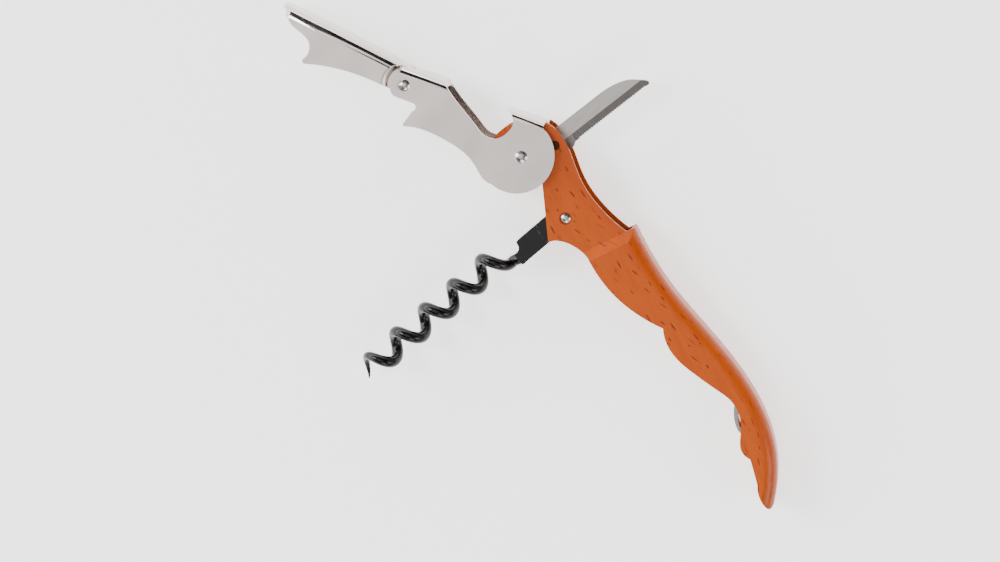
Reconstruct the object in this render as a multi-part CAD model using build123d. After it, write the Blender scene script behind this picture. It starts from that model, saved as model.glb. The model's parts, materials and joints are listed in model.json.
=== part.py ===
from build123d import *
from math import cos, pi, radians, sin
import os

# Lever corkscrew: a folded sheet handle, a two-stage lever, a folding worm and a folding knife.
# It is drawn about the lever pivot, opened out, with Z through its thickness, and at the end
# it is laid flat on its side with its origin under the middle of its box. Millimetres.

# ---- thickness, from the mid-plane outwards ----
body_half_width = 6.5      # lower handle and lever cheeks are flush with each other
handle_sheet = 1.0
lever_sheet = 1.2
washer_thickness = 0.3
running_gap = 0.02         # between flat faces that slide on each other
lever_inner = body_half_width - lever_sheet
head_half_width = lever_inner - washer_thickness - 2 * running_gap
head_inner = head_half_width - handle_sheet
grip_inner = body_half_width - handle_sheet
shank_half_width = head_inner - washer_thickness - 2 * running_gap
neck_inner = head_half_width - lever_sheet
blade_thickness = 1.2

# ---- rivets and pins ----
rivet_radius = 1.2
bore_clearance = 0.04
bore_radius = rivet_radius + bore_clearance
lever_rivet_head = 1.65
hinge_rivet_head = 1.5
worm_rivet_head = 1.4
head_rise = 0.5
recess_depth = 0.4
recess_clearance = 0.25
pin_recess = 0.35          # the knife pin ends below the face of the cheek
spacer_radius = 2.6
washer_radius = 3.2
small_washer_radius = 2.4

# ---- pivots, from the lever pivot ----
lever_pivot = (0, 0)
hinge_pivot = (-30.2, 18.1)
worm_pivot = (11.4, -15.9)
knife_pivot = (8.6, 2.9)

# ---- handle ----
head_radius = 8.6
grip_length = 80.9         # from the top of the web to the tail
grip_angle = -63.5
grip_top = (28.6, -18.2)
handle_bend = 3.5
joggle_start = (27.8, -21.6)
joggle_angle = 27.0
joggle_run = 2.6
stop_gap = 0.3             # open stop: handle shoulder to the lever's hook
stop_rise = 0.3            # of the shoulder's corner past the hook's back
head_front = 5.35          # where the round of the head leaves off, towards the worm

# ---- main lever ----
lever_angle = 161.0
lever_disc_radius = 9.9
lever_disc_along = 1.3
lever_disc_front = 4.9     # along the lever, where the disc's round ends
lever_disc_rear = -4.1
hook_gap = 0.3             # inside of the hook to the round head of the handle
hook_height = head_radius + hook_gap + lever_sheet
hook_bend = 1.6
hook_back = -2.9
hook_front = 7.7
web_height = 11.65
web_bend = 1.9
web_front = 36.4
web_back = 25.4

# ---- end lever, from the hinge pivot ----
end_angle = 153.5
end_web_height = 4.57
end_bend = 2.4
neck_height = 4.2
neck_radius = 2.9
neck_end = 5.6
neck_ramp = 0.6
neck_fall = 0.45           # keeps the neck's top edge under the main lever's web
neck_joggle_in = 4.5
neck_joggle_out = 6.1
lip_reach = 37.5
lip_side = 34.3
tongue_half_width = 3.6
tongue_end = 0.3
tongue_gap = 0.3
tongue_root = 3.2
tongue_corner = 1.6
notch_run = 4.0            # of the notch past the tongue's root, through the web's end
notch_depth = 1.0          # of the notch below the top of the neck

# ---- knife, from the knife pivot ----
knife_angle = 38.4
knife_reach = 28.7
knife_edge = -2.5
knife_spine = 3.4
knife_heel = 5.6
bevel_width = 2.1
edge_thickness = 0.25
tooth_pitch = 0.75
tooth_depth = 0.35
plain_tip = 1.0            # of the edge past the last tooth
spine_drop = 12.6          # from the tip back to where the spine starts to fall

# ---- worm, from the worm pivot ----
worm_angle = 220.8
wire_radius = 1.5
coil_radius = 2.75         # from the coil's axis to the middle of the wire
coil_pitch = 9.9
coil_offset = 3.2          # of the coil's axis from the pivot
first_crest = 24.6         # along the worm to the first crest on the offset side
worm_reach = 68.0
worm_taper = 7.5
wire_start = 9.0
coil_blend = 5.0
coil_step = 0.8
tip_radius = 0.15
taper_sections = 10
taper_power = 0.6          # below 1 keeps the taper full until near the tip
slope_step = 0.05          # half the span that a direction along the coil is taken over
wire_across = 0.3          # of the straight wire in the shank, from the pivot line
shank_near_side = -3.7
shank_far_side = 2.0
shank_end = 16.6
shank_shoulder = 14.2      # where the block steps in to the collar
shank_corner_drop = 0.7
shank_shoulder_across = -3.0
shank_heel_radius = 3.7
shank_collar = 0.25

# ---- back spring ----
spring_thickness = 0.9
spring_half_width = 3.0
spring_seat_gap = 0.15
spring_heel_gap = 0.3
spring_heel_turn = 20      # from the grip's direction to the leaf's under the heel
spring_heel_run = 6.0
spring_heel_fall = 1.0     # away from the heel, over the run
spring_web_start = 0.16    # share of the web's length where the leaf lands on it
spring_web_step = 0.05
spring_web_count = 11

far = 90.0                 # reach of a cutting shape past the piece that it cuts


def polar(origin, angle, along, across):
    """Point at a distance along a direction, and across it to the left."""
    c = cos(radians(angle))
    s = sin(radians(angle))
    return (origin[0] + along * c - across * s, origin[1] + along * s + across * c)


def lever_point(along, up):
    """Point on the main lever: along towards its hinge, up towards its webs."""
    return polar(lever_pivot, lever_angle, along, -up)


def end_point(along, up):
    """Point on the end lever: along towards its lip, up towards its web."""
    return polar(hinge_pivot, end_angle, along, -up)


def knife_point(along, up):
    """Point on the open knife: along towards its tip, up towards its spine."""
    return polar(knife_pivot, knife_angle, along, up)


def worm_point(along, across):
    """Point on the worm: across is positive on the side away from the coil's axis."""
    return polar(worm_pivot, worm_angle, along, across)


def grip_point(station, across):
    """Station in hundredths of the grip's length, across towards the handle's open front."""
    return polar(grip_top, grip_angle, station * grip_length / 100, -across)


def plate(edges, half_width):
    """Outline given thickness evenly about the mid-plane."""
    return extrude(make_face(edges), amount=half_width, both=True)


def polygon_plate(points, half_width):
    return plate(Polyline(*points, close=True), half_width)


def disc(centre, radius, low, high):
    """Upright cylinder between two heights."""
    return Pos(centre[0], centre[1], (low + high) / 2) * Cylinder(radius, high - low)


def through_hole(centre, radius):
    return disc(centre, radius, -far, far)


def tube(centre, outer, inner, low, high):
    return disc(centre, outer, low, high) - through_hole(centre, inner)


def beside(edge, distance, count=16):
    """Curve at a constant distance to the left of another."""
    points = []
    for i in range(count):
        place = edge @ (i / (count - 1))
        direction = edge % (i / (count - 1))
        points.append((place.X - distance * direction.Y, place.Y + distance * direction.X))
    return Spline(*points)


def side_of(start, angle, left, half_width):
    """Thick slab on one side of a line."""
    side = far if left else -far
    corners = [(-far, 0), (far, 0), (far, side), (-far, side)]
    return polygon_plate([polar(start, angle, *corner) for corner in corners], half_width)


def joggled_slab(wide, narrow):
    """Slab that narrows to one side of the handle's joggle, with a ramp between."""
    upper = [(-far, wide), (0, wide), (joggle_run, narrow), (far, narrow)]
    lower = [(across, -half) for across, half in reversed(upper)]
    to_head = Vector(*polar((0, 0), joggle_angle, 0, 1))
    along = Vector(*polar((0, 0), joggle_angle, 1, 0))
    plane = Plane(origin=joggle_start, x_dir=to_head, z_dir=along)
    section = plane * make_face(Polyline(*(upper + lower), close=True))
    return extrude(section, amount=far, both=True)


def dished_slab(narrow, wide):
    """Slab that narrows towards the hinge inside a round step."""
    rim = [(0, narrow), (neck_joggle_in, narrow), (neck_joggle_out, wide), (far, wide)]
    mirrored = [(radius, -half) for radius, half in reversed(rim)]
    section = Plane.XZ * make_face(Polyline(*(rim + mirrored), close=True))
    return Pos(*hinge_pivot) * revolve(section, Axis.Z)


def bent_bar(back, front_direction, half_width, bend):
    """Deep bar behind a back line, its two long back edges rounded as a folded sheet is."""
    reach = Vector(*front_direction) * far
    start = back @ 0
    end = back @ 1
    open_end = Line(end + reach, start + reach)
    bar = plate([back, Line(end, end + reach), open_end, Line(start + reach, start)], half_width)
    middle = back @ 0.5
    rims = [e for e in bar.edges() if (Vector((e @ 0.5).X, (e @ 0.5).Y) - middle).length < 0.01]
    return fillet(rims, bend)


def lever_bar(to_point, angle, start, end, height, half_width, bend):
    """Bent bar under a straight stretch of a lever's web."""
    back = Line(to_point(start, height), to_point(end, height))
    return bent_bar(back, polar((0, 0), angle, 0, 1), half_width, bend)


def main_lever_bars(inset, half_width):
    """Hook and web of the main lever end to end, drawn in by an inset."""
    split = (hook_front + web_back) / 2
    hook = lever_bar(lever_point, lever_angle, -far, split, hook_height - inset,
                     half_width, hook_bend - inset)
    web = lever_bar(lever_point, lever_angle, split, far, web_height - inset,
                    half_width, web_bend - inset)
    return hook + web


def front_region():
    """Everything behind the open front edge of the cheeks, from the worm's corner to the tail."""
    corner = (6.9, -22.1)
    throat = (17.3, -26.1)
    finger = grip_point(32.9, 4.2)
    dip = grip_point(82.7, -1.1)
    notch = grip_point(91.1, 0.2)
    tail = grip_point(99.4, 0.7)
    tail_back = grip_point(99.7, -0.7)
    edges = [
        Polyline((-far, corner[1]), corner, (8.6, -21.7)),
        Spline((8.6, -21.7), (11.2, -22.1), (14.8, -23.9), throat),
        Spline(throat, grip_point(9.0, 13.2), grip_point(18.2, 11.3), grip_point(26.2, 8.1), finger),
        Spline(finger, grip_point(38.3, 5.1), grip_point(42.6, 4.7), grip_point(50.3, 2.1),
               grip_point(57.6, -1.1), grip_point(63.0, -3.3), grip_point(67.5, -3.7),
               grip_point(73.1, -2.2), grip_point(77.6, -0.2), dip),
        Spline(dip, grip_point(88.0, -0.3), notch),
        Spline(notch, grip_point(95.9, 1.2), tail),
        ThreePointArc(tail, grip_point(100.0, 0.1), tail_back),
        Polyline(tail_back, grip_point(99.7, -far), (far, far), (-far, far), (-far, corner[1])),
    ]
    return plate(edges, body_half_width)


def grip_back():
    """Outside of the folded web, run on past both ends of the grip."""
    return Spline(grip_point(-6, -0.7), grip_point(1.4, -0.6), grip_point(19.6, -1.6),
                  grip_point(40.2, -5.6), grip_point(59.2, -8.9), grip_point(72.1, -9.4),
                  grip_point(83.2, -8.0), grip_point(92.6, -4.8), grip_point(98.8, -1.5),
                  grip_point(105, 2.6))


def head_cheeks():
    """Head and neck of the cheeks, with the shoulder that stops the open lever."""
    front_foot = (head_front, -(head_radius ** 2 - head_front ** 2) ** 0.5)
    stop = hook_back - stop_gap
    stop_foot = lever_point(stop, (head_radius ** 2 - stop ** 2) ** 0.5)
    stop_top = lever_point(stop, hook_height + stop_rise)
    back_end = (27.1, -19.1)
    edges = [
        Polyline((28.5, -22.0), (28.5, -40), (8.7, -40), front_foot),
        ThreePointArc(front_foot, (-head_radius, 0), stop_foot),
        Line(stop_foot, stop_top),
        Spline(stop_top, (9.3, 6.5), (12.2, 1.9), (15.2, -5.7), (21.1, -13.9), back_end),
        Line(back_end, (28.5, -22.0)),
    ]
    return plate(edges, head_half_width)


def handle_shell():
    """One folded sheet: two cheeks, joined by a web down the back of the grip."""
    front_side = polar((0, 0), grip_angle, 0, -1)
    joggle_top = polar(joggle_start, joggle_angle, 0, joggle_run)
    front = front_region()
    back = grip_back()
    grip = bent_bar(back, front_side, body_half_width, handle_bend) & front
    grip = grip & joggled_slab(body_half_width, head_half_width)
    grip = grip & side_of(joggle_top, joggle_angle, False, body_half_width)
    head = head_cheeks() & front & side_of(joggle_top, joggle_angle, True, head_half_width)
    inside = beside(back, -handle_sheet)
    hollow = bent_bar(inside, front_side, grip_inner, handle_bend - handle_sheet)
    hollow = hollow & joggled_slab(grip_inner, head_inner)
    slot = side_of(joggle_top, joggle_angle, True, head_inner)
    shell = grip + head - hollow - slot
    for pivot in (lever_pivot, worm_pivot, knife_pivot):
        shell = shell - through_hole(pivot, bore_radius)
    recess = worm_rivet_head + recess_clearance
    for side in (1, -1):
        face = side * head_half_width
        shell = shell - disc(worm_pivot, recess, *sorted((face - side * recess_depth, face + side)))
    return shell


def main_lever():
    """First lever stage: two cheeks, the cap-lifter hook, and the web over the hinge fork."""
    front_run = lever_disc_front - lever_disc_along
    rear_run = lever_disc_rear - lever_disc_along
    disc_end = (lever_disc_front, -(lever_disc_radius ** 2 - front_run ** 2) ** 0.5)
    disc_start = (lever_disc_rear, (lever_disc_radius ** 2 - rear_run ** 2) ** 0.5)
    disc_back = (lever_disc_along - lever_disc_radius, 0)
    edges = [
        Polyline(lever_point(web_back, web_height), lever_point(web_front, web_height),
                 lever_point(36.6, 10.4), lever_point(37.5, 6.4)),
        ThreePointArc(lever_point(37.5, 6.4), lever_point(37.2, 4.6), lever_point(35.6, 3.8)),
        Line(lever_point(35.6, 3.8), lever_point(30.9, 3.7)),
        ThreePointArc(lever_point(30.9, 3.7), lever_point(29.8, 2.9), lever_point(30.3, 1.7)),
        Line(lever_point(30.3, 1.7), lever_point(31.5, -2.0)),
        ThreePointArc(lever_point(31.5, -2.0), lever_point(31.4, -2.5), lever_point(30.9, -2.6)),
        Spline(lever_point(30.9, -2.6), lever_point(24.5, -1.9), lever_point(20.3, -2.4),
               lever_point(16.1, -3.3), lever_point(12.2, -4.9), lever_point(9.5, -7.0),
               lever_point(7.3, -8.7), lever_point(*disc_end)),
        ThreePointArc(lever_point(*disc_end), lever_point(*disc_back), lever_point(*disc_start)),
        Polyline(lever_point(*disc_start), lever_point(hook_back, head_radius + hook_gap / 2),
                 lever_point(hook_back, hook_height), lever_point(hook_front, hook_height)),
        Spline(lever_point(hook_front, hook_height), lever_point(5.3, 8.8), lever_point(4.7, 7.0),
               lever_point(5.3, 4.8), lever_point(7.6, 2.3), lever_point(10.6, 2.0),
               lever_point(13.9, 3.8), lever_point(20.6, 8.0), lever_point(web_back, web_height)),
    ]
    body = plate(edges, body_half_width) & main_lever_bars(0, body_half_width)
    body = body - main_lever_bars(lever_sheet, lever_inner) - tongue_notch()
    for pivot in (lever_pivot, hinge_pivot):
        body = body - through_hole(pivot, bore_radius)
    recess = hinge_rivet_head + recess_clearance
    for side in (1, -1):
        face = side * body_half_width
        body = body - disc(hinge_pivot, recess, *sorted((face - side * recess_depth, face + side)))
    return body


def tongue_plate(root, tip, half_width, low, high):
    """Flat tongue with a rounded free end, over the hinge, in the end lever's web."""
    length = root - tip
    blank = Box(length, high - low, 2 * half_width)
    blank = fillet(blank.edges().filter_by(Axis.Y).group_by(Axis.X)[0], tongue_corner)
    middle = end_point((root + tip) / 2, (low + high) / 2)
    return Pos(*middle) * Rot(0, 0, end_angle) * blank


def tongue_notch():
    """Notch in the main lever's web that the end lever's tongue lies in."""
    return tongue_plate(tongue_root + notch_run, tongue_end - tongue_gap,
                        tongue_half_width + tongue_gap, neck_radius - notch_depth, far)


def end_lever():
    """Second lever stage: a channel with a joggled neck, a tongue, and the bottle-rim lip."""
    neck_web = neck_height - lever_sheet
    edges = [
        Polyline(end_point(0, neck_radius), end_point(tongue_root, neck_radius - neck_fall),
                 end_point(tongue_root, neck_height), end_point(neck_end - neck_ramp, neck_height),
                 end_point(neck_end, end_web_height), end_point(lip_reach + 1, end_web_height),
                 end_point(lip_reach + 1, 3.4), end_point(33.9, 1.3)),
        Spline(end_point(33.9, 1.3), end_point(30.1, 0.0), end_point(27.1, -1.2),
               end_point(26.3, -2.3), end_point(26.5, -5.9)),
        ThreePointArc(end_point(26.5, -5.9), end_point(26.2, -6.6), end_point(25.4, -6.7)),
        Spline(end_point(25.4, -6.7), end_point(18.5, -4.3), end_point(10.9, -2.9),
               end_point(4.0, -2.6), end_point(0, -neck_radius)),
        ThreePointArc(end_point(0, -neck_radius), end_point(-neck_radius, 0), end_point(0, neck_radius)),
    ]
    outside = lever_bar(end_point, end_angle, -far, far, end_web_height, body_half_width, end_bend)
    inside_bend = end_bend - lever_sheet
    neck_hollow = lever_bar(end_point, end_angle, -far, neck_end, neck_web, lever_inner, inside_bend)
    web_hollow = lever_bar(end_point, end_angle, neck_end, far, end_web_height - lever_sheet,
                           lever_inner, inside_bend)
    body = plate(edges, body_half_width) & outside & dished_slab(head_half_width, body_half_width)
    body = body - ((neck_hollow + web_hollow) & dished_slab(neck_inner, lever_inner))
    lip = [
        Polyline((lip_side, body_half_width), (-far, body_half_width), (-far, -body_half_width),
                 (lip_side, -body_half_width)),
        ThreePointArc((lip_side, -body_half_width), (lip_reach, 0), (lip_side, body_half_width)),
    ]
    plan = Rot(90, 0, 0) * extrude(make_face(lip), amount=far, both=True)
    body = body & (Pos(*hinge_pivot) * Rot(0, 0, end_angle) * plan)
    body = body + tongue_plate(tongue_root, tongue_end, tongue_half_width, neck_web, neck_height)
    return body - through_hole(hinge_pivot, bore_radius)


def blade_teeth():
    """Zigzag along the cutting edge, from the heel towards the tip."""
    points = []
    count = int((knife_reach - plain_tip - knife_heel) / tooth_pitch)
    for i in range(count):
        start = knife_heel + i * tooth_pitch
        points.append(knife_point(start, knife_edge))
        points.append(knife_point(start + tooth_pitch / 2, knife_edge + tooth_depth))
    points.append(knife_point(knife_heel + count * tooth_pitch, knife_edge))
    return points


def knife_blade():
    """Serrated foil knife, ground on both faces, with a round tang at its pin."""
    tang = knife_spine
    teeth = blade_teeth()
    tip_slope = Vector(-0.3, 1).rotate(Axis.Z, knife_angle)
    spine_slope = Vector(-1, 0).rotate(Axis.Z, knife_angle)
    edges = [
        ThreePointArc(knife_point(0, tang), knife_point(-tang, 0), knife_point(0, -tang)),
        Polyline(knife_point(0, -tang), knife_point(3.2, -3.2), knife_point(4.2, knife_edge), *teeth,
                 knife_point(knife_reach - 0.2, knife_edge), knife_point(knife_reach, -1.9)),
        Spline(knife_point(knife_reach, -1.9), knife_point(knife_reach - 1.2, -0.5),
               knife_point(knife_reach - 3.6, 1.5), knife_point(knife_reach - 7.4, 2.9),
               knife_point(knife_reach - spine_drop, knife_spine), tangents=[tip_slope, spine_slope]),
        Line(knife_point(knife_reach - spine_drop, knife_spine), knife_point(0, tang)),
    ]
    half = blade_thickness / 2
    blade = plate(edges, half)
    slope = (half - edge_thickness / 2) / bevel_width
    grind_start = knife_point(knife_heel - 1, 0)
    up = Vector(*polar((0, 0), knife_angle, 0, 1))
    along = Vector(*polar((0, 0), knife_angle, 1, 0))
    for side in (1, -1):
        grind = make_face(Polyline((knife_edge + bevel_width, side * half),
                                   (knife_edge - 1, side * (half - slope * (bevel_width + 1))),
                                   (knife_edge - 1, side * 2 * half),
                                   (knife_edge + bevel_width, side * 2 * half), close=True))
        plane = Plane(origin=grind_start, x_dir=up, z_dir=along)
        blade = blade - extrude(plane * grind, amount=knife_reach)
    return blade - through_hole(knife_pivot, bore_radius)


def coil_place(along):
    """Middle of the worm's wire at a distance along the worm, as a point in space."""
    turn = 2 * pi * (along - first_crest) / coil_pitch + pi
    across = -coil_offset + coil_radius * cos(turn)
    height = coil_radius * sin(turn)
    mix = min(max((along - shank_end) / coil_blend, 0), 1)
    mix = mix * mix * (3 - 2 * mix)
    across = mix * across + (1 - mix) * wire_across
    x, y = worm_point(along, across)
    return Vector(x, y, mix * height)


def worm_path(start, end, count):
    places = [coil_place(start + (end - start) * i / count) for i in range(count + 1)]
    return Spline(*places)


def worm_wire():
    """Right-handed worm: straight in its shank, then a coil that tapers to a sharp tip."""
    taper_start = worm_reach - worm_taper
    wire = worm_path(wire_start, taper_start, int((taper_start - wire_start) / coil_step))
    body = sweep(Plane(origin=wire @ 0, z_dir=wire % 0) * Circle(wire_radius), path=wire)
    sections = []
    for i in range(taper_sections + 1):
        along = taper_start + worm_taper * i / taper_sections
        direction = coil_place(along + slope_step) - coil_place(along - slope_step)
        if i == 0:
            direction = wire % 1
        radius = max(wire_radius * (1 - i / taper_sections) ** taper_power, tip_radius)
        sections.append(Plane(origin=coil_place(along), z_dir=direction) * Circle(radius))
    return body + loft(sections)


def worm_shank():
    """Flat block on the worm's pivot, pressed over the straight end of the wire."""
    near = shank_near_side
    away = shank_far_side
    collar = wire_radius + shank_collar
    heel_top = worm_point(0, shank_heel_radius)
    collar_far = worm_point(shank_end, wire_across + collar)
    collar_near = worm_point(shank_end, wire_across - collar)
    step = worm_point(shank_shoulder, shank_shoulder_across)
    corner = worm_point(shank_shoulder - shank_corner_drop, near)
    edges = [
        ThreePointArc(worm_point(0, near), worm_point(-shank_heel_radius, 0), heel_top),
        Polyline(heel_top, worm_point(4.5, away), worm_point(shank_shoulder, away), collar_far,
                 collar_near),
        ThreePointArc(collar_near, worm_point(shank_shoulder + 0.4, -1.9), step),
        ThreePointArc(step, worm_point(shank_shoulder - 0.2, -3.5), corner),
        Line(corner, worm_point(0, near)),
    ]
    block = plate(edges, shank_half_width)
    start = worm_point(wire_start, wire_across)
    direction = Vector(*worm_point(1, 0)) - Vector(*worm_pivot)
    socket = extrude(Plane(origin=start, z_dir=direction) * Circle(wire_radius), amount=shank_end)
    return block - socket - through_hole(worm_pivot, bore_radius)


def rivet(pivot, seat, radius):
    """Shaft between two domed heads, each seated at a height from the mid-plane."""
    shape = disc(pivot, rivet_radius, -seat, seat)
    dome_radius = (radius ** 2 + head_rise ** 2) / (2 * head_rise)
    for side in (1, -1):
        base = side * seat
        ball = Pos(pivot[0], pivot[1], base + side * (head_rise - dome_radius)) * Sphere(dome_radius)
        shape = shape + (ball & disc(pivot, radius, *sorted((base, base + side * head_rise))))
    return shape


def knife_pin():
    return disc(knife_pivot, rivet_radius, pin_recess - head_half_width, head_half_width - pin_recess)


def washer(pivot, radius, inside):
    """Flat washer whose lower face lies a running gap above a height; negative heights mirror it."""
    side = 1 if inside > 0 else -1
    low = inside + side * running_gap
    return tube(pivot, radius, bore_radius, *sorted((low, low + side * washer_thickness)))


def back_spring():
    """Leaf along the inside of the web, from the worm's heel to its arched end by the tail."""
    inner = handle_sheet + spring_seat_gap + spring_thickness / 2
    web = beside(grip_back(), -inner)
    heel = shank_heel_radius + spring_heel_gap + spring_thickness / 2
    leaf_angle = grip_angle + spring_heel_turn
    points = [polar(worm_pivot, leaf_angle, 0, heel),
              polar(worm_pivot, leaf_angle, spring_heel_run, heel + spring_heel_fall)]
    points += [web @ (spring_web_start + spring_web_step * i) for i in range(spring_web_count)]
    points += [grip_point(77.0, -5.0), grip_point(74.5, -2.0),
               grip_point(70.0, -1.9), grip_point(65.5, -3.6)]
    middle = Spline(*points)
    one_side = beside(middle, spring_thickness / 2, 40)
    other_side = beside(middle, -spring_thickness / 2, 40)
    ends = [Line(one_side @ 0, other_side @ 0), Line(one_side @ 1, other_side @ 1)]
    return plate([one_side, other_side, *ends], spring_half_width)


def build_nodes():
    """Every separate piece by name, about the lever pivot."""
    nodes = {
        "handle_shell": handle_shell(),
        "back_spring": back_spring(),
        "main_lever": main_lever(),
        "end_lever": end_lever(),
        "worm_wire": worm_wire(),
        "worm_shank": worm_shank(),
        "knife_blade": knife_blade(),
        "lever_rivet": rivet(lever_pivot, body_half_width + running_gap, lever_rivet_head),
        "hinge_rivet": rivet(hinge_pivot, body_half_width - recess_depth, hinge_rivet_head),
        "worm_rivet": rivet(worm_pivot, head_half_width - recess_depth, worm_rivet_head),
        "knife_pin": knife_pin(),
        "head_spacer": tube(lever_pivot, spacer_radius, bore_radius, -head_inner, head_inner),
    }
    blade_side = blade_thickness / 2 + running_gap
    for name, side in (("front", 1), ("back", -1)):
        spacer_ends = sorted((side * blade_side, side * head_inner))
        spacer = tube(knife_pivot, spacer_radius, bore_radius, *spacer_ends)
        nodes["knife_spacer_" + name] = spacer
        nodes["lever_washer_" + name] = washer(lever_pivot, washer_radius, side * head_half_width)
        nodes["hinge_washer_" + name] = washer(hinge_pivot, small_washer_radius, side * head_half_width)
        nodes["worm_washer_" + name] = washer(worm_pivot, small_washer_radius, side * shank_half_width)
    return nodes


nodes = build_nodes()
box = Compound(children=[Compound(shape.solids()) for shape in nodes.values()]).bounding_box()
placement = (-box.center().X, -box.center().Y, -box.min.Z)

os.makedirs("parts", exist_ok=True)
for name, shape in nodes.items():
    laid = Pos(*placement) * shape
    export_step(laid, "parts/" + name + ".step")
    print(name, len(shape.solids()), round(shape.volume, 2))
print("placement", [round(value, 4) for value in placement])
print("box", [round(value, 2) for value in tuple(box.size)])
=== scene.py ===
import json
from math import radians

import bpy
from mathutils import Matrix, Vector


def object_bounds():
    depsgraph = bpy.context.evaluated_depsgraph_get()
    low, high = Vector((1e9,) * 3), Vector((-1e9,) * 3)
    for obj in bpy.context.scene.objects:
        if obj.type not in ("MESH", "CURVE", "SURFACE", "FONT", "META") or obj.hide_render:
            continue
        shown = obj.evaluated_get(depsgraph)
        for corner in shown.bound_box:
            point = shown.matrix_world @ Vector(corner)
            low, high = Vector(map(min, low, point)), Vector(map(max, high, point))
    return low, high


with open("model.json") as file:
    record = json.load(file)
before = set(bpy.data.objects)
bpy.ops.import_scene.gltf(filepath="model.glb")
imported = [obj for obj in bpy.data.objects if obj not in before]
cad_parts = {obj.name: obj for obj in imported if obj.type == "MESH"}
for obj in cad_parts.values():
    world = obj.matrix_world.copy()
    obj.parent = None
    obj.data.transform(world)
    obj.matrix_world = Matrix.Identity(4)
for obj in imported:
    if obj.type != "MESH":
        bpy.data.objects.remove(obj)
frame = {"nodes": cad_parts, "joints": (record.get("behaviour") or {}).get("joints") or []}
cad_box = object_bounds()
nodes = frame["nodes"]
pivots = {joint["name"]: Vector(joint["pos_m"]) for joint in frame["joints"]}

MM = 0.001
GRIP_ANGLE = radians(-63.5)      # directions of the pieces at rest, in the plane of the cheeks
LEVER_ANGLE = radians(161.0)
END_ANGLE = radians(153.5)
KNIFE_ANGLE = radians(38.4)
WORM_ANGLE = radians(220.8)


# ---- building blocks ----

LINEAR_BELOW = 0.04045           # the display curve is straight up to here
NOISE_LOW = 0.3                  # most of a noise texture lies between these two
NOISE_HIGH = 0.7


def srgb(red, green, blue):
    """Linear colour from display values of 0 to 255."""
    shares = [value / 255 for value in (red, green, blue)]
    return [s / 12.92 if s < LINEAR_BELOW else ((s + 0.055) / 1.055) ** 2.4 for s in shares] + [1.0]


def material_with(name, sockets):
    """New material, with these values on its own shader. Returns it, its tree and the shader."""
    material = bpy.data.materials.new(name)
    material.use_nodes = True
    shader = material.node_tree.nodes["Principled BSDF"]
    for socket, value in sockets.items():
        shader.inputs[socket].default_value = value
    return material, material.node_tree, shader


def add(tree, kind, inputs, **settings):
    """Adds a node whose inputs are fixed values or the outputs of other nodes."""
    made = tree.nodes.new("ShaderNode" + kind)
    for name, value in settings.items():
        setattr(made, name, value)
    for socket, value in inputs.items():
        if isinstance(value, bpy.types.NodeSocket):
            tree.links.new(value, made.inputs[socket])
        else:
            made.inputs[socket].default_value = value
    return made


def calculate(tree, operation, *values):
    return add(tree, "Math", dict(enumerate(values)), operation=operation).outputs[0]


def fade(tree, value, start, end):
    """1 up to start, 0 from end on, and smooth between."""
    inputs = {"Value": value, "From Min": start, "From Max": end, "To Min": 1.0, "To Max": 0.0}
    return add(tree, "MapRange", inputs, interpolation_type="SMOOTHSTEP").outputs["Result"]


def blend_colours(tree, share, first, second):
    mix = add(tree, "Mix", {0: share, 6: first, 7: second}, data_type="RGBA")
    return mix.outputs[2]


def own_axes(tree, pivot, angle, stretch=(1, 1, 1)):
    """Place in millimetres along a piece, across it and up, from its pivot, divided by a stretch."""
    coordinates = tree.nodes.new("ShaderNodeTexCoord").outputs["Object"]
    inputs = {"Vector": coordinates, "Location": pivot, "Rotation": (0, 0, angle),
              "Scale": [MM * value for value in stretch]}
    return add(tree, "Mapping", inputs, vector_type="TEXTURE").outputs["Vector"]


def noise(tree, vector, scale, detail=3.0, roughness=0.5):
    inputs = {"Vector": vector, "Scale": scale, "Detail": detail, "Roughness": roughness}
    return add(tree, "TexNoise", inputs).outputs["Fac"]


def bump(tree, height, distance, strength, before=None):
    """Surface direction for a height map whose full height is this distance in millimetres."""
    inputs = {"Height": height, "Distance": distance * MM, "Strength": strength}
    if before:
        inputs["Normal"] = before
    return add(tree, "Bump", inputs).outputs["Normal"]


def spread(tree, value, low, high):
    """A noise value moved to a range."""
    inputs = {"Value": value, "From Min": NOISE_LOW, "From Max": NOISE_HIGH, "To Min": low, "To Max": high}
    return add(tree, "MapRange", inputs).outputs["Result"]


# ---- enamel with wood pores ----

# the middle of the grip's back, as shares of the length along the handle and the width across it
BACK_LINE = [(0.0, 0.37), (0.11, 0.37), (0.2, 0.42), (0.27, 0.52), (0.41, 0.636), (0.56, 0.769),
             (0.7, 0.879), (0.795, 0.896), (0.876, 0.849), (0.945, 0.742), (1.0, 0.632)]
BACK_LENGTH = 110.0              # millimetres
BACK_WIDTH = 30.0

PORE_SPACING = (5.2, 2.7)        # millimetres along the handle and across
PORE_HALF_WIDTH = 0.2
PORE_SHORTEST = 0.3              # millimetres, half of the shortest stroke
PORE_LENGTH_RANGE = 1.1          # how much more half of the longest has
PORE_SLANT = 0.25                # rise over run, either way
PORE_FAINTEST = 0.25             # share of the pore colour in the faintest stroke
PORE_CORE = 0.3                  # squared share of a stroke's size where it starts to fade
PORE_RIM = 1.4                   # and where it has gone

ENAMEL_DEEP = (168, 66, 0)
ENAMEL_LIGHT = (178, 74, 0)
# painted shade: a deeper orange laid along the rounded back of the handle, where the bend turns from the
# light
ENAMEL_BACK_SHADE = (160, 60, 0)
ENAMEL_GRAIN = (146, 50, 0)
ENAMEL_PORE = (92, 28, 2)
BACK_SHADE_FADE = (0.4, 5.0)           # millimetres in from the back line, where the painted shade of the rounded back fades out
BACK_SHADE_SHARE = 0.45
GRAIN_FADE = (0.28, 0.36)
GRAIN_SHARE = 0.3
CLOUD_STRETCH = (9, 1.6, 3)
GRAIN_STRETCH = (2.6, 0.35, 0.35)


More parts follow.
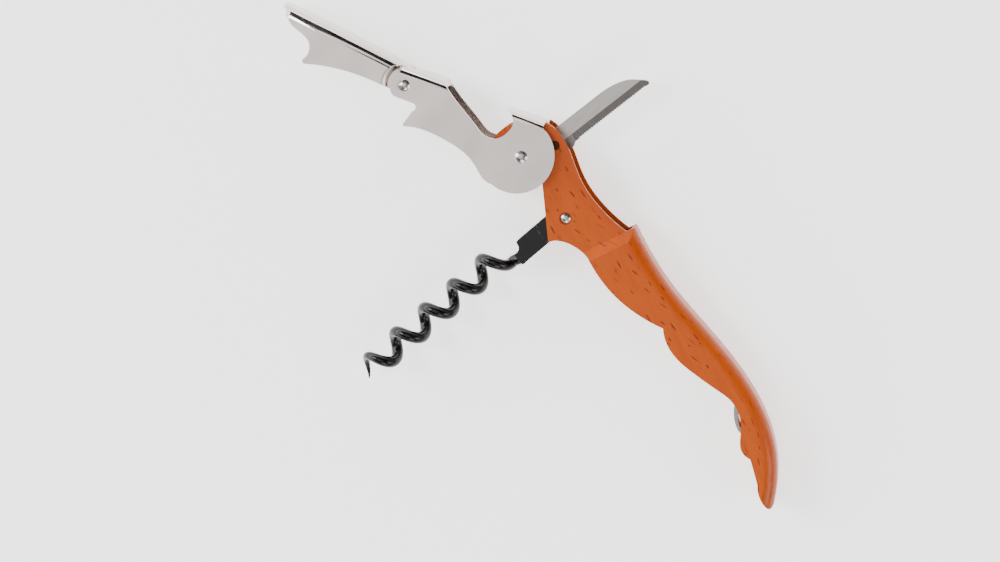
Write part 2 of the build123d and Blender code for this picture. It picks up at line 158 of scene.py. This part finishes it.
def handle_sheet_place(tree):
    """The handle's sheet unfolded flat.

    Returns the place, and millimetres along, round from the middle of the back, and in from it.
    """
    place = own_axes(tree, pivots["lever_swing"], GRIP_ANGLE)
    x, y, z = add(tree, "SeparateXYZ", {0: place}).outputs
    share = calculate(tree, "DIVIDE", x, BACK_LENGTH)
    line = tree.nodes.new("ShaderNodeFloatCurve")
    curve = line.mapping.curves[0]
    curve.points[0].location = BACK_LINE[0]
    curve.points[1].location = BACK_LINE[-1]
    for point in BACK_LINE[1:-1]:
        curve.points.new(*point)
    line.mapping.update()
    tree.links.new(share, line.inputs["Value"])
    back = calculate(tree, "MULTIPLY", line.outputs[0], BACK_WIDTH)
    depth = calculate(tree, "SUBTRACT", back, y)
    side = calculate(tree, "SIGN", z)
    round_the_back = calculate(tree, "MULTIPLY_ADD", side, depth, z)
    return place, x, round_the_back, depth


def pores(tree, along, across):
    """Short dark strokes along the handle, one to a cell, each with its own length and slant."""
    flat = add(tree, "CombineXYZ", {0: along, 1: across}).outputs[0]
    cells_per_mm = (1 / PORE_SPACING[0], 1 / PORE_SPACING[1], 0)
    scaled = add(tree, "VectorMath", {0: flat, 1: cells_per_mm}, operation="MULTIPLY").outputs[0]
    cells = add(tree, "TexVoronoi", {"Vector": scaled, "Scale": 1.0, "Randomness": 1.0},
                voronoi_dimensions="2D")
    from_centre = {0: scaled, 1: cells.outputs["Position"]}
    offset = add(tree, "VectorMath", from_centre, operation="SUBTRACT").outputs[0]
    dx, dy = add(tree, "SeparateXYZ", {0: offset}).outputs[:2]
    dx = calculate(tree, "MULTIPLY", dx, PORE_SPACING[0])
    dy = calculate(tree, "MULTIPLY", dy, PORE_SPACING[1])
    draws = add(tree, "SeparateColor", {0: cells.outputs["Color"]})
    length_draw, slant_draw, strength_draw = draws.outputs
    half_length = calculate(tree, "MULTIPLY_ADD", length_draw, PORE_LENGTH_RANGE, PORE_SHORTEST)
    slant = calculate(tree, "MULTIPLY_ADD", slant_draw, 2 * PORE_SLANT, -PORE_SLANT)
    dy = calculate(tree, "SUBTRACT", dy, calculate(tree, "MULTIPLY", slant, dx))
    x_share = calculate(tree, "DIVIDE", dx, half_length)
    y_share = calculate(tree, "DIVIDE", dy, PORE_HALF_WIDTH)
    size = calculate(tree, "ADD", calculate(tree, "MULTIPLY", x_share, x_share),
                     calculate(tree, "MULTIPLY", y_share, y_share))
    stroke = fade(tree, size, PORE_CORE, PORE_RIM)
    strength = calculate(tree, "MULTIPLY_ADD", strength_draw, 1.0 - PORE_FAINTEST, PORE_FAINTEST)
    return calculate(tree, "MULTIPLY", stroke, strength)


def enamel():
    """Orange enamel with painted shade deepening it towards the rounded back, with wood grain and pores
    pressed into it.
    """
    material, tree, shader = material_with("handle_enamel", {
        "Metallic": 0.0, "Coat Weight": 0.05, "Coat Roughness": 0.18, "IOR": 1.3})
    place, along, across, depth = handle_sheet_place(tree)
    clouds = noise(tree, own_axes(tree, pivots["lever_swing"], GRIP_ANGLE, CLOUD_STRETCH), scale=0.9)
    colour = blend_colours(tree, spread(tree, clouds, 0.0, 1.0), srgb(*ENAMEL_DEEP), srgb(*ENAMEL_LIGHT))
    # painted shade of the rounded back, strongest at the back line and gone 5 mm in from it
    painted_back_shade = calculate(tree, "MULTIPLY", fade(tree, depth, *BACK_SHADE_FADE), BACK_SHADE_SHARE)
    colour = blend_colours(tree, painted_back_shade, colour, srgb(*ENAMEL_BACK_SHADE))
    grain = noise(tree, own_axes(tree, pivots["lever_swing"], GRIP_ANGLE, GRAIN_STRETCH), scale=1.0)
    faint = calculate(tree, "MULTIPLY", fade(tree, grain, *GRAIN_FADE), GRAIN_SHARE)
    colour = blend_colours(tree, faint, colour, srgb(*ENAMEL_GRAIN))
    strokes = pores(tree, along, across)
    colour = blend_colours(tree, strokes, colour, srgb(*ENAMEL_PORE))
    tree.links.new(colour, shader.inputs["Base Color"])
    patches = noise(tree, place, scale=0.5)
    tree.links.new(spread(tree, patches, low=0.26, high=0.38), shader.inputs["Roughness"])
    peel = bump(tree, noise(tree, place, scale=1.4, detail=2.0), distance=0.02, strength=0.5)
    sunk_strokes = calculate(tree, "SUBTRACT", 1.0, strokes)
    normal = bump(tree, sunk_strokes, distance=0.03, strength=0.6, before=peel)
    tree.links.new(normal, shader.inputs["Normal"])
    return material


# ---- metals ----

PLATING = (204, 195, 191)
SCRATCH_STRETCH = (14, 0.5, 0.5)
GROUND_SHADE = 0.78              # a grinding mark's darkest tone, as a share of the colour
SPRING_STEEL = (168, 163, 158)
SPRING_GRAIN = (6, 0.4, 0.4)
RIVET_STEEL = (196, 193, 189)
# painted shade: the knife pin is coloured dark brown for the shadow in its recessed hole
PIN_PAINTED_SHADE = (74, 40, 26)
TURNED_GRAIN = (0.8, 0.8, 0.8)

BEVEL_TOP = -0.4                 # millimetres across the blade, where the ground bevel starts
BEVEL_FADE = 0.1
BLADE_FLAT = (186, 181, 176)
# painted shade: the bevel's darker colour stands in for how it faces away from the light
BLADE_BEVEL_SHADE = (128, 123, 120)
BLADE_MARK = (90, 87, 85)
ALONG_BLADE = (9, 0.25, 1)
ACROSS_BLADE = (0.22, 5, 1)


def plating(name, pivot, angle):
    """Polished plating on bent sheet: slight waves, hair scratches and a cloudy polish."""
    material, tree, shader = material_with(name, {"Metallic": 1.0, "Base Color": srgb(*PLATING)})
    place = own_axes(tree, pivot, angle)
    scratches = noise(tree, own_axes(tree, pivot, angle, SCRATCH_STRETCH), scale=1.6, detail=4.0,
                      roughness=0.7)
    polish = noise(tree, place, scale=0.35, detail=4.0)
    tree.links.new(spread(tree, polish, low=0.1, high=0.2), shader.inputs["Roughness"])
    waves = bump(tree, noise(tree, place, scale=0.06, detail=1.0), distance=0.5, strength=1.0)
    normal = bump(tree, scratches, distance=0.004, strength=0.5, before=waves)
    tree.links.new(normal, shader.inputs["Normal"])
    return material


def ground_steel(name, pivot, angle, colour, grain, low, high):
    """Plain steel with grinding marks; grain is the length of a mark along, across and up.

    The roughness runs from low to high over the marks.
    """
    material, tree, shader = material_with(name, {"Metallic": 1.0})
    marks = noise(tree, own_axes(tree, pivot, angle, grain), scale=2.0, detail=5.0, roughness=0.65)
    light = srgb(*colour)
    dark = [value * GROUND_SHADE for value in light[:3]] + [1.0]
    tree.links.new(blend_colours(tree, spread(tree, marks, 0.0, 1.0), dark, light),
                   shader.inputs["Base Color"])
    tree.links.new(spread(tree, marks, low, high), shader.inputs["Roughness"])
    tree.links.new(bump(tree, marks, distance=0.012, strength=0.6), shader.inputs["Normal"])
    return material


def blade_steel():
    """Satin blade: marks along the flat, cross-ground marks on the bevel, and painted shade darkening the
    bevel.
    """
    material, tree, shader = material_with("blade_steel", {"Metallic": 1.0})
    pivot = pivots["knife_fold"]
    place = own_axes(tree, pivot, KNIFE_ANGLE)
    across = add(tree, "SeparateXYZ", {0: place}).outputs[1]
    on_bevel = fade(tree, across, BEVEL_TOP - BEVEL_FADE, BEVEL_TOP + BEVEL_FADE)
    along_marks, cross_marks = [
        noise(tree, own_axes(tree, pivot, KNIFE_ANGLE, grain), scale=1.6, detail=5.0, roughness=0.65)
        for grain in (ALONG_BLADE, ACROSS_BLADE)]
    marks = add(tree, "Mix", {0: on_bevel, 2: along_marks, 3: cross_marks}).outputs[0]
    # painted shade on the bevel; the cross-ground marks there are real
    colour = blend_colours(tree, on_bevel, srgb(*BLADE_FLAT), srgb(*BLADE_BEVEL_SHADE))
    colour = blend_colours(tree, spread(tree, marks, low=0.0, high=0.35), colour, srgb(*BLADE_MARK))
    tree.links.new(colour, shader.inputs["Base Color"])
    tree.links.new(spread(tree, marks, low=0.24, high=0.42), shader.inputs["Roughness"])
    tree.links.new(bump(tree, marks, distance=0.02, strength=0.7), shader.inputs["Normal"])
    return material


# ---- black coating ----

COATING = (5, 4, 4)
BARE_METAL = (90, 87, 85)
WEAR_RADIUS = 8.0                # millimetres from the pivot, where the shank rubs on the cheeks' edge
WEAR_WIDTH = 0.22
WEAR_BREAKS = (0.4, 0.6)
WEAR_SHARE = 0.6
SCUFF_STRETCH = (3, 0.4, 0.6)
SCUFF_FADE = (0.27, 0.33)
SCUFF_SHARE = 0.25


def worm_coating():
    """Glossy black coating, a little uneven, with a faint rubbed arc on the shank."""
    material, tree, shader = material_with("worm_coating", {
        "Metallic": 0.0, "Coat Weight": 0.1, "Coat Roughness": 0.1, "IOR": 1.33})
    place = own_axes(tree, pivots["worm_fold"], WORM_ANGLE)
    x, y = add(tree, "SeparateXYZ", {0: place}).outputs[:2]
    flat = add(tree, "CombineXYZ", {0: x, 1: y}).outputs[0]
    radius = add(tree, "VectorMath", {0: flat}, operation="LENGTH").outputs["Value"]
    off_arc = calculate(tree, "ABSOLUTE", calculate(tree, "SUBTRACT", radius, WEAR_RADIUS))
    broken = fade(tree, noise(tree, place, scale=1.2), *WEAR_BREAKS)
    wear = calculate(tree, "MULTIPLY", fade(tree, off_arc, 0.0, WEAR_WIDTH), broken)
    stretched = own_axes(tree, pivots["worm_fold"], WORM_ANGLE, SCUFF_STRETCH)
    scuffs = fade(tree, noise(tree, stretched, scale=1.0, detail=5.0), *SCUFF_FADE)
    worn = calculate(tree, "MAXIMUM", calculate(tree, "MULTIPLY", wear, WEAR_SHARE),
                     calculate(tree, "MULTIPLY", scuffs, SCUFF_SHARE))
    tree.links.new(blend_colours(tree, worn, srgb(*COATING), srgb(*BARE_METAL)),
                   shader.inputs["Base Color"])
    patches = noise(tree, place, scale=0.8)
    tree.links.new(spread(tree, patches, low=0.2, high=0.34), shader.inputs["Roughness"])
    lumps = noise(tree, place, scale=1.1)
    tree.links.new(bump(tree, lumps, distance=0.03, strength=0.5), shader.inputs["Normal"])
    return material


# ---- each node's material and slot ----

def dress(names, material):
    for name in names:
        piece = nodes[name]
        piece.data.materials.clear()
        piece.data.materials.append(material)


def dress_all():
    """The larger pieces and the pin have their own looks; all the other small ones share one."""
    dress(["handle_shell"], enamel())
    dress(["main_lever"], plating("lever_plating", pivots["lever_swing"], LEVER_ANGLE))
    dress(["end_lever"], plating("end_plating", pivots["lever_hinge"], END_ANGLE))
    dress(["worm_wire", "worm_shank"], worm_coating())
    dress(["knife_blade"], blade_steel())
    spring = ground_steel("spring_steel", pivots["worm_fold"], GRIP_ANGLE, SPRING_STEEL, SPRING_GRAIN,
                          low=0.25, high=0.42)
    dress(["back_spring"], spring)
    rivet = ground_steel("rivet_steel", pivots["lever_swing"], 0.0, RIVET_STEEL, TURNED_GRAIN,
                         low=0.2, high=0.36)
    # the pin's dark brown colour is painted shade for its recessed hole
    pin = ground_steel("pin_steel_painted_shade", pivots["knife_fold"], 0.0, PIN_PAINTED_SHADE, TURNED_GRAIN,
                       low=0.3, high=0.5)
    dress(["knife_pin"], pin)
    dressed = {"handle_shell", "main_lever", "end_lever", "worm_wire", "worm_shank", "knife_blade",
               "back_spring", "knife_pin"}
    dress(sorted(set(nodes) - dressed), rivet)


# ---- rounded sheet edges ----

# millimetres
EDGE_ROUNDING = {"handle_shell": 0.2, "main_lever": 0.4, "end_lever": 0.4, "worm_shank": 0.25}
WELD_DISTANCE = 0.001
SHARP_ANGLE = radians(50)


def round_edges():
    """Small rounding where the sheet's faces meet, as tumbled and plated edges have."""
    for name, width in EDGE_ROUNDING.items():
        weld = nodes[name].modifiers.new("joined", "WELD")
        weld.merge_threshold = WELD_DISTANCE * MM
        bevel = nodes[name].modifiers.new("rounded", "BEVEL")
        bevel.width = width * MM
        bevel.segments = 3
        bevel.limit_method = "ANGLE"
        bevel.angle_limit = SHARP_ANGLE
        bevel.use_clamp_overlap = True
        bevel.harden_normals = True


# ---- stage, light and camera ----

FLOOR_HALF = 2.0                 # metres
FLOOR_GLOW = 1.4
FLOOR_GLOW_COLOUR = (255, 254, 252)
FLOOR_SHADES = ((250, 250, 249), (253, 253, 252))


def floor():
    """Plain pale floor under the object, with a glow of its own that keeps it evenly light."""
    mesh = bpy.data.meshes.new("floor")
    corners = [(-FLOOR_HALF, -FLOOR_HALF, 0), (FLOOR_HALF, -FLOOR_HALF, 0),
               (FLOOR_HALF, FLOOR_HALF, 0), (-FLOOR_HALF, FLOOR_HALF, 0)]
    mesh.from_pydata(corners, [], [(0, 1, 2, 3)])
    plane = bpy.data.objects.new("floor", mesh)
    bpy.context.scene.collection.objects.link(plane)
    material, tree, shader = material_with("floor_paint", {
        "Roughness": 0.9, "Emission Color": srgb(*FLOOR_GLOW_COLOUR), "Emission Strength": FLOOR_GLOW})
    place = tree.nodes.new("ShaderNodeTexCoord").outputs["Object"]
    shade = spread(tree, noise(tree, place, scale=3.0), 0.0, 1.0)
    first, second = FLOOR_SHADES
    tree.links.new(blend_colours(tree, shade, srgb(*first), srgb(*second)), shader.inputs["Base Color"])
    mesh.materials.append(material)


# height of a direction, and the brightness there
SKY = [(0.0, 1.0), (0.1, 1.6), (0.2, 3.2), (0.34, 3.2), (0.42, 0.015), (0.88, 0.015),
       (0.94, 1.5), (1.0, 1.5)]
SKY_SLOPE = (-1.6, 1.1, 0.0)     # how the brightness changes across the room
SKY_DIMMEST = 0.4


def studio_sky():
    """Soft white room with one dark band round it, which polished bends show as a thin dark line."""
    world = bpy.data.worlds.new("studio")
    bpy.context.scene.world = world
    world.use_nodes = True
    tree = world.node_tree
    background = tree.nodes["Background"]
    direction = tree.nodes.new("ShaderNodeTexCoord").outputs["Generated"]
    height = add(tree, "SeparateXYZ", {0: direction}).outputs[2]
    ramp = add(tree, "ValToRGB", {"Fac": height})
    stops = ramp.color_ramp.elements             # a new ramp has one at 0 and one at 1
    for position, _ in SKY[1:-1]:
        stops.new(position)
    for stop, (_, brightness) in zip(stops, SKY):
        stop.color = (brightness, brightness, brightness, 1.0)
    tree.links.new(ramp.outputs["Color"], background.inputs["Color"])
    along_slope = add(tree, "VectorMath", {0: direction, 1: SKY_SLOPE}, operation="DOT_PRODUCT")
    strength = calculate(tree, "ADD", along_slope.outputs["Value"], 1.0)
    tree.links.new(calculate(tree, "MAXIMUM", strength, SKY_DIMMEST), background.inputs["Strength"])


# name, place in metres, diameter in metres, watts
LAMPS = [("key", (-0.75, 0.25, 0.75), 0.5, 8.0),
         ("fill", (0.15, -0.85, 0.75), 0.6, 5.0),
         ("side", (0.8, -0.25, 0.6), 0.5, 4.0)]


def lamps():
    """Three soft round lamps, all turned to the middle of the object."""
    middle = (cad_box[0] + cad_box[1]) / 2
    for name, place, diameter, watts in LAMPS:
        light = bpy.data.lights.new(name, "AREA")
        light.shape = "DISK"
        light.size = diameter
        light.energy = watts
        holder = bpy.data.objects.new(name, light)
        bpy.context.scene.collection.objects.link(holder)
        holder.location = place
        holder.rotation_euler = (middle - Vector(place)).to_track_quat("-Z", "Y").to_euler()


CAMERA_BACK = Vector((0.113, 0.132, 0.985)).normalized()     # from the object to the camera
CAMERA_LENS = 135.0              # millimetres
CAMERA_SENSOR = 36.0
CAMERA_DISTANCE = 0.966          # metres
CAMERA_NEAR = 0.01
AIM_FROM_PIVOT = Vector((-5.34, -32.1, 7.0)) * MM


def camera():
    """Looks down on the object from CAMERA_BACK, with the world's Y axis up in the picture."""
    data = bpy.data.cameras.new("camera")
    data.lens = CAMERA_LENS
    data.sensor_width = CAMERA_SENSOR
    data.clip_start = CAMERA_NEAR
    holder = bpy.data.objects.new("camera", data)
    bpy.context.scene.collection.objects.link(holder)
    right = Vector((0, 1, 0)).cross(CAMERA_BACK).normalized()
    up = CAMERA_BACK.cross(right)
    turn = Matrix((right, up, CAMERA_BACK)).transposed().to_4x4()
    aim = pivots["lever_swing"] + AIM_FROM_PIVOT
    holder.matrix_world = Matrix.Translation(aim + CAMERA_BACK * CAMERA_DISTANCE) @ turn
    bpy.context.scene.camera = holder


camera()
floor()
studio_sky()
lamps()
dress_all()
round_edges()
